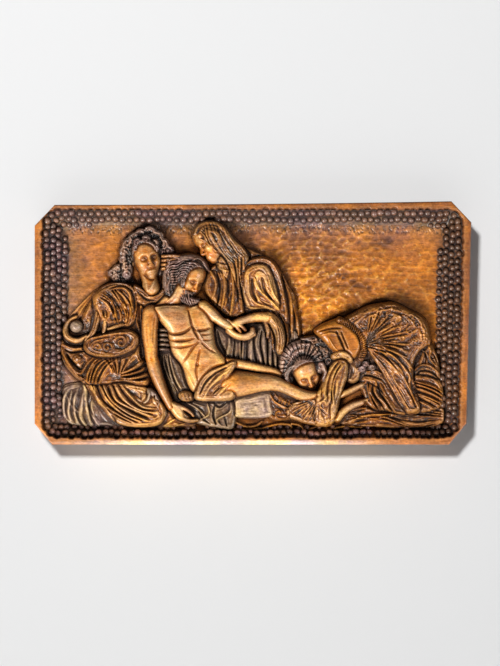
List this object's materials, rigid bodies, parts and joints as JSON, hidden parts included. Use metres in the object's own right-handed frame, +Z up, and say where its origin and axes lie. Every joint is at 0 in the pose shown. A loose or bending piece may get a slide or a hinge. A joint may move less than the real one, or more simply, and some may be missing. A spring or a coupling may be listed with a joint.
{
  "type": "carved wooden panel",
  "caption": "Rectangular carved wooden wall panel with cut corners, a beaded sunk frame and a mourning group of figures in deep relief.",
  "frame": {"origin": "middle of the flat back of the board, where it lies on the wall", "axes": "+X to the right along the board's length seen from the front, +Y out of the back into the wall, +Z up"},
  "size_m": [0.4368, 0.038, 0.2434],
  "materials": {
    "stained_wood": "golden brown stained and waxed wood, satin, nearly black in the cuts"
  },
  "bodies": {
    "root": {"carved_panel": "stained_wood"}
  },
  "joints": []
}
